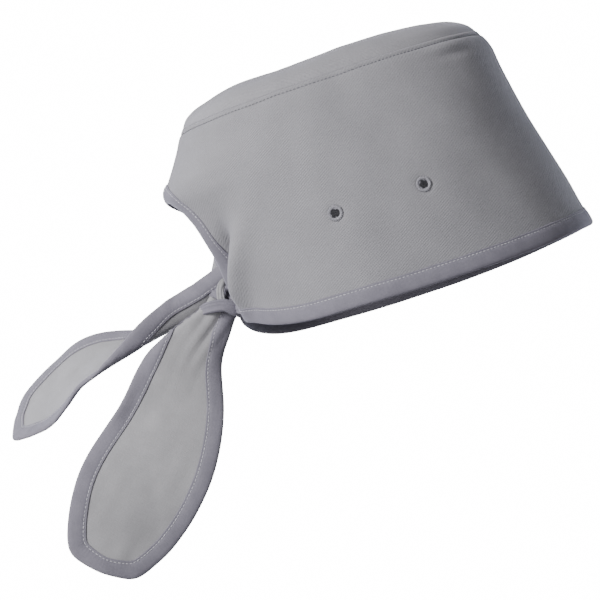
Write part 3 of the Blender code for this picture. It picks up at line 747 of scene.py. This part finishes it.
def sidePanel():
    rimHalf = rimLine[rimLine[:, 0] <= halfRound]
    front = [[halfRound, rimHeight(np.array(halfRound)) + edgeBack]]
    rimHalf = evenly(joined(rimHalf, front), grain)
    seamAt = np.append(np.arange(0.0, halfRound, grain), halfRound)
    seamHalf = columns(seamAt, seamHeight(seamAt))
    cutAt = np.arange(rimHalf[-1, 1] + grain, seamHalf[-1, 1] - grain / 2, grain)
    cut = columns(np.full(len(cutAt), halfRound), cutAt)
    endAt = np.arange(rimHalf[0, 1] + 2, archLeft[0, 1] - 1, 2.0)
    end = np.array([[crown["endHalfGap"], y] for y in endAt])
    archRow = evenly(archLine, grain)
    rightHalf = (rimHalf, cut, seamHalf[:0:-1])
    leftHalf = (seamHalf * mirror, cut[::-1] * mirror, rimHalf[::-1] * mirror, end * mirror)
    loop = joined(*rightHalf, *leftHalf, archRow[::-1], end[::-1])
    rings = [eyeletRing(at, eyeletSize["outer"] / 2 - 0.2, 26) for at in eyeletAt.values()]
    rows = []
    for drop in crown["seamRows"]:
        rows += [seamHalf - [0.0, drop], (seamHalf - [0.0, drop]) * mirror]
    for wide in (0.8, 1.8):
        rows += [eyeletRing(at, eyeletSize["outer"] / 2 + wide, 30) for at in eyeletAt.values()]
    flat, faces = drawCloth(loop, rings, rows, grain)
    normals = levelNormals(flat)
    points = levelWall(*flat.T)
    for at in eyeletAt.values():
        away = np.linalg.norm(points - levelWall(*at[:, None]), axis=1)
        past = away - eyeletSize["outer"] / 2 - eyeletSize["ditchOut"]
        dimple = np.exp(-((past / eyeletSize["ditchWidth"]) ** 2))
        points -= normals * (dimple * eyeletSize["ditch"])[:, None]
    cutLine = np.isclose(np.abs(flat[:, 0]), halfRound)
    points[cutLine, 1] = 0.0
    right = np.flatnonzero(cutLine & (flat[:, 0] > 0))
    left = np.flatnonzero(cutLine & (flat[:, 0] < 0))
    partner = right[np.abs(flat[left, 1][:, None] - flat[right, 1]).argmin(axis=1)]
    normals[partner] += normals[left]
    normals[cutLine, 1] = 0.0
    welded = np.arange(len(flat))
    welded[left] = partner
    used, faces = np.unique(welded[faces], return_inverse=True)
    faces = faces.reshape(-1, 3)
    normals = unit(normals[used])
    piece = makeCloth(
        "sidePanelCloth", points[used], normals, faces, crown["cloth"], "crownTwill", flat[used]
    )
    unwrapAtCut(piece)
    print("side panel", len(piece.data.polygons), "faces")
    return piece


eyeletSize = {
    "spread": 23.8,
    "shift": -10.6,
    "height": 43.5,
    "outer": 7.8,
    "hole": 5.5,
    "rise": 0.55,
    "ditch": 0.35,
    "ditchOut": 0.3,
    "ditchWidth": 0.8,
    "threads": 52,
    "loose": 5,
}


def eyeletPlace(side, place):
    ahead = eyeletSize["shift"] + place * eyeletSize["spread"]
    roundAt = np.linspace(0.7, 2.7, 1200) * drawnRadius
    x = wallBare(roundAt, np.full(1200, eyeletSize["height"]))[:, 0]
    return np.array([side * np.interp(ahead, x, roundAt), eyeletSize["height"]])


def eyeletRing(centre, radius, count):  # a circle on the wall, drawn flat
    u, v = centre
    across = wall(np.array([u - 1.0, u + 1.0]), np.array([v, v]))
    up = wall(np.array([u, u]), np.array([v - 1.0, v + 1.0]))
    stretchU = np.linalg.norm(across[1] - across[0]) / 2.0
    stretchV = np.linalg.norm(up[1] - up[0]) / 2.0
    turn = np.linspace(0.0, 2.0 * np.pi, count, endpoint=False)
    ring = columns(np.cos(turn) / stretchU, np.sin(turn) / stretchV)
    return np.array(centre) + radius * ring


eyeletAt = {
    "eyelet_right_front": eyeletPlace(-1, 1),
    "eyelet_right_rear": eyeletPlace(-1, -1),
    "eyelet_left_front": eyeletPlace(1, 1),
    "eyelet_left_rear": eyeletPlace(1, -1),
}

root = "root"
side = sidePanel()


# Shares are of the crown's length and breadth, rearwards and to the right.
topShape = {
    "around": 360,
    "waves": 5,
    "dip": 1.3,
    "dipAt": (0.29, 0.255),
    "dipSize": (0.07, 0.073),
    "calm": 6.0,
    "hills": ((0.8, 30.0, 26.0, 11), (0.25, 11.0, 11.0, 12)),  # height, two lengths, seed
    "tuck": 0.15,
    "tuckWidth": 1.2,
}


def topPanel():
    around = topShape["around"]
    roundAt = np.linspace(0.0, circle, around + 1)[:-1]
    edge = wall(roundAt, seamHeight(roundAt))
    middle = np.array([(edge[:, 0].max() + edge[:, 0].min()) / 2.0, 0.0, 0.0])
    inward = edge * [1.0, 1.0, 0.0] - middle
    reach = np.linalg.norm(inward, axis=1)
    waves = np.fft.rfft(edge, axis=0)
    waves[topShape["waves"] :] = 0.0  # only the oval's own shape is left
    calmEdge = np.fft.irfft(waves, len(edge), axis=0)
    calmInward = calmEdge * [1.0, 1.0, 0.0] - middle
    outer = [0.99, 0.995, 1.0]
    shares = joined(np.linspace(0.02, 0.9, 44), np.linspace(0.91, 0.985, 12), outer)
    dipAt, dipSize = topShape["dipAt"], topShape["dipSize"]
    rings = []
    for share in shares:
        held = share**5
        ring = middle + (inward * held + calmInward * (1.0 - held)) * share
        rim = edge[:, 2] * held + calmEdge[:, 2] * (1.0 - held)
        level = rim * share + (1.0 - share) * edge[:, 2].mean()
        rise = crown["domeRise"] * follow(crown["dome"], 1, share)
        dipX = (ring[:, 0] / crown["length"] + dipAt[0]) / dipSize[0]
        dipY = (ring[:, 1] / crown["breadth"] + dipAt[1]) / dipSize[1]
        sag = topShape["dip"] * np.exp(-(dipX**2) - dipY**2) * (1.0 - share)
        calm = min(1.0, (1.0 - share) * topShape["calm"])
        ring[:, 2] = level + rise - sag
        for high, long, broad, seed in topShape["hills"]:
            hills = softNoise(ring[:, 0] / long + 3, ring[:, 1] / broad + 5, seed)
            ring[:, 2] += high * calm * hills
        rings.append(ring)
    top = joined([rings[0].mean(axis=0)], *rings)
    faces = [(0, 1 + (i + 1) % around, 1 + i) for i in range(around)]
    for ring in range(len(rings) - 1):
        a, b = 1 + ring * around, 1 + (ring + 1) * around
        for i in range(around):
            j = (i + 1) % around
            faces += [(a + i, b + j, b + i), (a + i, a + j, b + j)]
    faces = np.array(faces)
    normal = np.zeros_like(top)
    p, q, r = (top[faces[:, k]] for k in range(3))
    facet = np.cross(q - p, r - p)
    for k in range(3):
        np.add.at(normal, faces[:, k], facet)
    normal = unit(normal)
    if normal[0, 2] < 0:
        normal, faces = -normal, faces[:, ::-1]
    gap = joined([99.0], *(reach * (1.0 - share) for share in shares))
    top -= normal * (topShape["tuck"] * np.exp(-((gap / topShape["tuckWidth"]) ** 2)))[:, None]
    flat = top[:, :2] + [300.0, 300.0]
    normal = unit(worn(normal))
    piece = makeCloth("topPanelCloth", worn(top), normal, faces, crown["cloth"], "topTwill", flat)
    print("top panel", len(piece.data.polygons), "faces")
    return piece


top = topPanel()
rimTape = foldedTape("rimTape", rimLine, *crownCloth, 21)
archTape = foldedTape("archTape", archLine[::-1], *crownCloth, 22)
print("crown tapes ready")

crownStitch = {"length": 1.2, "width": 0.42, "arch": 0.42, "unevenness": 0.12, "seed": 5}
stitchIn = tapeSize["width"] - tapeSize["stitchIn"]
onTape = tapeSize["thick"] - 0.24
seamRound = np.linspace(0.5, circle - 0.5, 1400)
seamLine = columns(seamRound, seamHeight(seamRound) - crown["seamDrop"])


def tapeStitches(name, lines, surface, normalsAt, cloth, seed):  # on both faces
    rows = [
        stitchRow(line, surface, normalsAt, stitchIn, above, facing)
        for above, facing in ((onTape, 1.0), (-onTape - cloth, -1.0))
        for line in lines
    ]
    return sew(name, rows, dict(crownStitch, seed=seed))


crownLines = [rimLine, archLine[::-1]]
crownStitches = tapeStitches("crownStitches", crownLines, *crownCloth, crownStitch["seed"])
seamStitch = dict(crownStitch, arch=0.45, seed=6)
seamRow = stitchRow(seamLine, levelWall, levelNormals, 0.0, 0.12)
seamStitches = sew("seamStitches", [seamRow], seamStitch, seamShadeThread)


def eyelet(name, at):
    half = (eyeletSize["outer"] - eyeletSize["hole"]) / 4.0
    middle = (eyeletSize["outer"] + eyeletSize["hole"]) / 4.0
    ringSides, sectionSides = 48, 10
    rows = []
    for k in range(sectionSides):
        turn = 2.0 * np.pi * k / sectionSides
        ring = eyeletRing(at, middle + half * 0.85 * np.cos(turn), ringSides)
        above = eyeletSize["rise"] * 0.8 * np.sin(turn) - crown["cloth"] / 2.0
        rows.append(levelWall(*ring.T) + levelNormals(ring) * above)
    points = np.stack(rows, axis=1).reshape(-1, 3)
    return makePiece(name, points, tubeFaces(ringSides, sectionSides, closed=True), ringThread)


eyeletThread = {"length": 1.45, "width": 0.34, "arch": 0.75, "unevenness": 0.12, "seed": 9}
eyeletRows, eyelets = [], []
for index, (name, at) in enumerate(eyeletAt.items()):
    eyelets.append(eyelet(name + "Ring", at))
    middle = (eyeletSize["outer"] + eyeletSize["hole"]) / 4.0
    ring = eyeletRing(at, middle, eyeletSize["threads"])
    centre = levelWall(*at[:, None])
    on = levelWall(*ring.T)
    normal = levelNormals(ring)
    for facing in (1.0, -1.0):
        above = normal * (0.05 if facing > 0 else -crown["cloth"] - 0.05)
        eyeletRows.append((on + above, unit(on - centre), normal * facing))
    rng = np.random.default_rng(40 + index)
    inner = eyeletSize["hole"] / 2.0
    for _ in range(eyeletSize["loose"]):
        turn = rng.uniform(0, 2 * np.pi)
        place = eyeletRing(at, inner * rng.uniform(0.72, 0.9), 64)[int(turn / (2 * np.pi) * 63)]
        spot = levelWall(*place[:, None])
        outwards = unit(np.cross(normal[:1], unit(spot - centre)) + rng.normal(0, 0.5, (1, 3)))
        eyeletRows.append((spot - normal[:1] * 0.4, outwards, normal[:1]))
eyeletStitches = sew("eyeletStitches", eyeletRows, eyeletThread, ringThread)


# Ties: a leaf of cloth hanging from the knot.
tieSize = {
    "length": 150.0,
    "width": 66.0,
    "cloth": 0.9,
    "grain": 1.7,
    "edgeInset": 1.2,
    "curlWidth": 3.5,
    "rollFrom": 5.0,
    "rollTo": 14.0,
    "pleat": (7.0, 26.0, 9.0),  # spacing, reach along and reach across
    "hills": ((0.9, 24.0, 18.0, 0), (0.22, 9.0, 6.0, 5)),  # height, two lengths, step of seed
    "outline": (
        (0.0, 0.25), (0.053, 0.295), (0.105, 0.37), (0.158, 0.485), (0.21, 0.57),
        (0.263, 0.665), (0.316, 0.748), (0.368, 0.81), (0.474, 0.905), (0.579, 0.976),
        (0.684, 1.0), (0.789, 0.95), (0.842, 0.89), (0.895, 0.787), (0.947, 0.65),
        (0.979, 0.455), (1.0, 0.0),
    ),
}
# Share along, then how far the middle line is to the rear, to the left and down as
# shares of the length, degrees the face is turned, degrees each side is rolled and
# degrees the near edge is curled over. The second table has the share along, the
# distance of the fold line from the middle and the spare width outside the outline.
rightTie = {
    "root": (-1.2, -4.6, -8.1),
    "hang": (
        (0.0, 0.0, 0.0, 0.0, 10.0, 26.0, 150.0), (0.053, 0.026, -0.007, 0.046, 8.0, 22.0, 150.0),
        (0.105, 0.057, -0.013, 0.091, 6.0, 18.0, 150.0),
        (0.158, 0.093, -0.02, 0.134, 4.0, 14.0, 120.0),
        (0.263, 0.14, -0.027, 0.232, 0.0, 10.0, 24.0),
        (0.368, 0.171, -0.03, 0.333, -4.0, 8.0, -26.0),
        (0.474, 0.202, -0.03, 0.432, -6.0, 8.0, -20.0),
        (0.579, 0.242, -0.027, 0.528, -4.0, 8.0, 6.0),
        (0.684, 0.294, -0.02, 0.623, 0.0, 8.0, 0.0), (0.789, 0.34, -0.013, 0.719, 4.0, 8.0, 0.0),
        (0.895, 0.392, -0.007, 0.825, 6.0, 6.0, 0.0), (1.0, 0.438, 0.0, 0.938, 6.0, 6.0, 0.0),
    ),
    "folded": (
        (0.0, 7.5, 12.5), (0.12, 12.5, 12.5), (0.22, 16.8, 4.2), (0.35, 19.0, 0.4),
        (0.45, 20.5, 0.0), (1.0, 26.0, 0.0),
    ),
    "tuck": 5.0,
    "rolledOver": 0.0,
    "pleats": 0.9,
    "seed": 31,
}
leftTie = {
    "root": (-6.5, 10.0, -3.5),
    "hang": (
        (0.0, 0.0, 0.0, 0.0, 106.0, 20.0, 62.0), (0.08, 0.05, 0.014, 0.04, 102.0, 20.0, 62.0),
        (0.16, 0.105, 0.03, 0.072, 96.0, 20.0, 64.0),
        (0.24, 0.161, 0.048, 0.103, 94.0, 16.0, 68.0),
        (0.32, 0.219, 0.07, 0.133, 96.0, 12.0, 76.0),
        (0.4, 0.283, 0.102, 0.162, 101.0, 8.0, 88.0), (0.5, 0.358, 0.153, 0.19, 108.0, 5.0, 62.0),
        (0.6, 0.43, 0.213, 0.22, 112.0, 4.0, 18.0), (0.7, 0.5, 0.276, 0.264, 115.0, 3.0, 0.0),
        (0.8, 0.562, 0.34, 0.313, 115.0, 3.0, 0.0), (0.9, 0.632, 0.405, 0.366, 116.0, 3.0, 0.0),
        (1.0, 0.705, 0.47, 0.424, 116.0, 3.0, 0.0),
    ),
    "folded": (
        (0.0, 0.0, 9.5), (0.1, 0.5, 7.0), (0.2, 7.0, 5.0), (0.3, 15.0, 2.6),
        (0.44, 26.0, 0.0), (1.0, 30.0, 0.0),
    ),
    "tuck": 17.0,
    "rolledOver": 50.0,
    "pleats": 0.3,
    "seed": 37,
}
knotPlace = {"back": 94.5, "up": 24.5}
knotMiddle = worn(np.array([[-knotPlace["back"], 0.0, knotPlace["up"]]]))[0]


def tieSurface(tie):
    length, width = tieSize["length"], tieSize["width"] / 2.0
    hang, base = tie["hang"], knotMiddle + np.array(tie["root"])

    def middleLine(share):
        share = np.clip(share, 0.0, 1.0)
        rear, left, down = (smoothly(hang, k, share) for k in (1, 2, 3))
        return columns(-rear, left, -down) * length

    def place(along, across):
        share = along / length
        held = np.clip(share, 0.0, 1.0)
        middle = middleLine(held)
        heading = unit(middleLine(held + 0.01) - middleLine(held - 0.01))
        middle = middle + heading * ((share - held) * length)[:, None]
        flatSide = unit(np.cross(heading, np.array([0.0, 1.0, 0.0])))
        deepSide = unit(np.cross(flatSide, heading))
        turn = np.radians(smoothly(hang, 4, held))[:, None]
        sideways = flatSide * np.cos(turn) + deepSide * np.sin(turn)
        face = unit(np.cross(sideways, heading))
        half = np.maximum(follow(tieSize["outline"], 1, held), 0.45) * width
        roll = np.radians(smoothly(hang, 5, held)) / half
        curl = np.radians(smoothly(hang, 6, held))
        foldAt = smoothly(tie["folded"], 1, held)
        steps = 20
        outward, lifted = np.zeros(len(across)), np.zeros(len(across))
        for k in range(steps):
            at = across * (k + 0.5) / steps
            angle = roll * at - curl * ease(-at, foldAt, foldAt + tieSize["curlWidth"])
            rolled = ease(-at, foldAt + tieSize["rollFrom"], foldAt + tieSize["rollTo"])
            angle -= np.radians(tie["rolledOver"]) * rolled
            outward += np.cos(angle) * across / steps
            lifted += np.sin(angle) * across / steps
        spacing, long, broad = tieSize["pleat"]
        pleat = np.cos(across * 2 * np.pi / spacing)
        pleat *= np.exp(-((along / long) ** 2) - (across / broad) ** 2)
        lifted += tie["pleats"] * pleat
        for high, long, broad, step in tieSize["hills"]:
            lifted += high * softNoise(along / long + 2, across / broad + 7, tie["seed"] + step)
        return base + middle + sideways * outward[:, None] + face * lifted[:, None]

    return place


def makeTie(name, tie):
    surface = tieSurface(tie)

    def normalsAt(flat):
        return normalsOf(surface, flat, 0.3)

    share = 1.0 - np.linspace(1.0, 0.0, 300) ** 2
    half = follow(tieSize["outline"], 1, share) * tieSize["width"] / 2.0
    spare = smoothly(tie["folded"], 2, share)
    upSide = columns(share * tieSize["length"], half)
    downSide = columns(share * tieSize["length"], -half - spare)
    bound = joined(downSide[:1], downSide, upSide[-2::-1], upSide[:1])
    bound[[0, -1], 0] = -tie["tuck"]
    bound = evenly(bound, 1.0, smooth=4.0)
    line = inset(bound, tieSize["edgeInset"])
    clothLine = evenly(line, tieSize["grain"])
    flat, faces = drawCloth(clothLine, [], [], tieSize["grain"])
    normals = normalsAt(flat)
    points = surface(*flat.T)
    cloth = makeCloth(
        name + "Cloth", points, normals, faces, tieSize["cloth"], "tieTwill", flat
    )
    line = evenly(line, 1.0)
    tieCloth = (surface, normalsAt, tieSize["cloth"])
    tape = foldedTape(name + "Tape", line, *tieCloth, tie["seed"] + 1)
    stitched = tapeStitches(name + "Stitches", [line], *tieCloth, tie["seed"])
    area = np.abs(doubleAreas(flat, faces)).sum() / 2
    return cloth, tape, stitched, area * metre**2


rightCloth, rightTape, rightStitches, rightArea = makeTie("rightTie", rightTie)
leftCloth, leftTape, leftStitches, leftArea = makeTie("leftTie", leftTie)
print("ties ready")


def strap(name, rows, creases, cloth, seed):
    rows = np.array(rows, float)
    count = len(rows)
    at = np.linspace(0, count - 1, 14 * (count - 1) + 1)
    i = np.clip(np.floor(at).astype(int), 0, count - 2)
    t = (at - i)[:, None]
    padded = joined([2 * rows[0] - rows[1]], rows, [2 * rows[-1] - rows[-2]])
    a, b, c, d = (padded[i + k] for k in range(4))
    bend = 2 * a - 5 * b + 4 * c - d
    row = 0.5 * (2 * b + (c - a) * t + bend * t**2 + (3 * b - a - 3 * c + d) * t**3)
    line, facing, wide, thick = knotMiddle + row[:, :3], row[:, 3:6], row[:, 6:7], row[:, 7:8]
    heading = unit(np.gradient(line, axis=0))
    across = unit(np.cross(facing, heading))
    up = np.cross(heading, across)
    sides = 56
    turn = np.linspace(0.0, 2 * np.pi, sides, endpoint=False)
    flatRound = np.sign(np.cos(turn)) * np.abs(np.cos(turn)) ** 0.8
    deepRound = np.sign(np.sin(turn)) * np.abs(np.sin(turn)) ** 0.7
    rings = []
    for k in range(sides):
        drift = softNoise(at * 0.8, np.full(len(at), flatRound[k] * 1.5), seed)[:, None]
        crease = creases * np.cos(wide * flatRound[k] * 2.6 + drift * 2.2)
        lift = thick * deepRound[k] + crease * deepRound[k]
        rings.append(line + across * wide * flatRound[k] + up * lift)
    points = np.stack(rings, axis=1)
    faces = tubeFaces(len(line), sides)
    flat = joined(points.reshape(-1, 3), [line[0], line[-1]])
    last, n = (len(line) - 1) * sides, len(flat)
    for k in range(sides):
        m = (k + 1) % sides
        faces += [(n - 2, m, k), (n - 1, last + k, last + m)]
    run = alongOf(line)
    uv = np.stack(np.broadcast_arrays(run[:, None], wide * turn[None, :]), axis=-1)
    uv = joined(uv.reshape(-1, 2), [[0.0, 0.0], [run[-1], 0.0]])
    return makePiece(name, flat, faces, cloths[cloth], uv)


# Cloth, depth of the creases and seed, then rows: place from the knot's middle, which
# way the face looks, half the width and half the thickness.
straps = {
    "knotCore": (
        "tapeTwill", 0.5, 51,
        (4, -4, -6, 0, -1, 0, 4.0, 2.5), (0, -1, -4, 0, -1, 0, 5.5, 4.0),
        (-3, 3, 0, 0, -1, 0, 5.5, 4.0), (-6, 8, 3, 0, -1, 0, 4.5, 2.5),
    ),
    "knotBand": (
        "tapeTwill", 0.35, 52,
        (-11.5, 1.5, -9.4, -1, 0.3, 0, 2.2, 1.0), (-13.2, -3.6, -9.0, -1, -0.5, 0, 2.5, 1.2),
        (-9.2, -8.2, -7.4, -0.3, -1, 0.2, 3.2, 1.5), (-1.5, -9.4, -6.4, 0, -1, 0.2, 3.4, 1.6),
        (4.4, -7.8, -8.4, 0.5, -0.9, 0, 3.5, 1.5), (7.2, -3.5, -9.4, 1, -0.2, 0, 3.2, 1.3),
        (5.0, 1.0, -8.0, 0.5, 0.9, 0, 2.6, 1.0),
    ),
    "knotFold": (
        "tieTwill", 0.18, 53,
        (-0.6, -3.0, 7.6, 0.2, -1, 0.8, 1.4, 0.8), (-2.4, -5.4, 5.6, 0, -1, 0.5, 1.8, 1.1),
        (-3.6, -7.2, 2.0, 0, -1, 0.1, 2.0, 1.3), (-3.2, -7.6, -2.4, 0, -1, 0, 2.1, 1.2),
        (-2.4, -6.4, -7.0, 0, -1, -0.2, 2.0, 1.0),
    ),
    "nearPanelStrap": (
        "tapeTwill", 0.3, 55,
        (9.0, -15.0, -6.5, -0.3, -1, 0, 5.5, 0.8), (6.0, -10.0, -6.0, -0.9, -0.5, 0, 4.5, 1.2),
        (2.5, -5.0, -4.5, -1, -0.4, 0, 3.4, 1.6), (-0.5, 0.0, -2.0, -1, 0, 0, 3.0, 1.6),
    ),
    "farPanelStrap": (
        "tapeTwill", 0.3, 56,
        (9.0, 15.0, -4.5, -0.3, 1, 0, 5.5, 0.8), (6.0, 10.5, -3.0, -0.9, 0.5, 0, 4.5, 1.2),
        (2.0, 6.0, -1.5, -1, 0.4, 0, 3.4, 1.6), (-1.5, 1.0, -1.0, -1, 0, 0, 3.0, 1.6),
    ),
}
knotParts = [
    strap(name, rows, creases, cloth, seed)
    for name, (cloth, creases, seed, *rows) in straps.items()
]

# Which solids each piece stands for, and its finish.
pieces = [
    (side, "grey_twill", ["side_panel"]),
    (top, "grey_twill", ["top_panel"]),
    (rimTape, "contrast_tape", ["rim_binding"]),
    (archTape, "contrast_tape", ["arch_binding"]),
    (rightCloth, "grey_twill", ["tie_right"]),
    (leftCloth, "grey_twill", ["tie_left"]),
    (rightTape, "contrast_tape", ["tie_right_binding"]),
    (leftTape, "contrast_tape", ["tie_left_binding"]),
    (knotParts[0], "contrast_tape", ["tie_knot"]),
    (crownStitches, "eyelet_thread", []),
    (seamStitches, "eyelet_thread", []),
    (rightStitches, "eyelet_thread", []),
    (leftStitches, "eyelet_thread", []),
    (eyeletStitches, "eyelet_thread", []),
]
pieces += [(ring, "eyelet_thread", [name]) for ring, name in zip(eyelets, eyeletAt)]
pieces += [(part, "contrast_tape", []) for part in knotParts[1:]]
for piece, finish, nodes in pieces:
    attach(piece, root)
    if nodes:
        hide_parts(*nodes)

# Floor, light and camera.
studio = {
    "floor": -0.50,
    "floorSize": 3.0,
    "azimuth": -4.0,
    "elevation": -3.0,
    "distance": 2.4,
    "frameWidth": 0.31496,
    "aim": (-0.0587, 0.0, -0.0097),
    "ambient": 0.05,
    "backdrop": 16.0,
}


def floorMaterial():
    graph = Graph("paleFloor")
    place = graph.node("ShaderNodeTexCoord", None, None, output=3)
    cloud = graph.noise(place, 6.0, 2.0)
    shade = mixColour(graph, cloud, (0.30, 0.30, 0.30, 1.0), (0.35, 0.35, 0.35, 1.0))
    return graph.finish({"Base Color": shade, "Roughness": 0.9})


half = studio["floorSize"]
floorMesh = bpy.data.meshes.new("paleFloor")
z = studio["floor"]
floorMesh.from_pydata(
    [(-half, -half, z), (half, -half, z), (half, half, z), (-half, half, z)], [], [(0, 1, 2, 3)]
)
floor = addObject("paleFloor", floorMesh)
floorMesh.materials.append(floorMaterial())

world = bpy.context.scene.world or bpy.data.worlds.new("studio")
bpy.context.scene.world = world
world.use_nodes = True
sky = world.node_tree
sky.nodes.clear()
output = sky.nodes.new("ShaderNodeOutputWorld")
path, blend = sky.nodes.new("ShaderNodeLightPath"), sky.nodes.new("ShaderNodeMixShader")
sky.links.new(path.outputs["Is Camera Ray"], blend.inputs[0])
sky.links.new(blend.outputs[0], output.inputs[0])
glows = (((0.93, 0.95, 1.0, 1.0), studio["ambient"]), ((1.0, 1.0, 1.0, 1.0), studio["backdrop"]))
for slot, (colour, strength) in enumerate(glows, 1):  # what lights the cap, what the camera sees
    glow = sky.nodes.new("ShaderNodeBackground")
    glow.inputs["Color"].default_value = colour
    glow.inputs["Strength"].default_value = strength
    sky.links.new(glow.outputs[0], blend.inputs[slot])

# Name: place, size, power in watts, colour.
lights = {
    "keyLight": ((-1.85, -1.5, 0.95), 0.9, 88.0, (1.0, 0.99, 0.98)),
    "lowLeftLight": ((-2.1, -1.7, 0.1), 0.8, 30.0, (0.97, 0.98, 1.0)),
    "backLeftLight": ((-1.3, 1.6, 0.5), 1.0, 30.0, (0.88, 0.91, 1.0)),
    "backRightLight": ((1.6, 1.5, 0.4), 0.9, 38.0, (0.86, 0.90, 1.0)),
    "topLight": ((-1.4, 0.6, 1.5), 1.2, 6.0, (1.0, 1.0, 1.0)),
    "frontFill": ((1.8, -1.3, 0.9), 1.0, 9.0, (0.95, 0.95, 1.0)),
}
aim = Vector(studio["aim"])
for name, (place, size, power, colour) in lights.items():
    data = bpy.data.lights.new(name, "AREA")
    data.shape, data.size, data.energy, data.color = "DISK", size, power, colour
    lamp = addObject(name, data)
    lamp.location = place
    lamp.rotation_mode = "QUATERNION"
    lamp.rotation_quaternion = (aim - Vector(place)).to_track_quat("-Z", "Y")
    lamp.visible_camera = False

a, e = math.radians(studio["azimuth"]), math.radians(studio["elevation"])
back = Vector((math.sin(a) * math.cos(e), -math.cos(a) * math.cos(e), math.sin(e)))
view = bpy.data.cameras.new("photoView")
view.sensor_width = 36.0
view.lens = view.sensor_width * studio["distance"] / studio["frameWidth"]
view.clip_end = 50.0
camera = addObject("photoView", view)
camera.location = aim + back * studio["distance"]
camera.rotation_mode = "QUATERNION"
camera.rotation_quaternion = (-back).to_track_quat("-Z", "Y")
bpy.context.scene.camera = camera
print("studio ready")
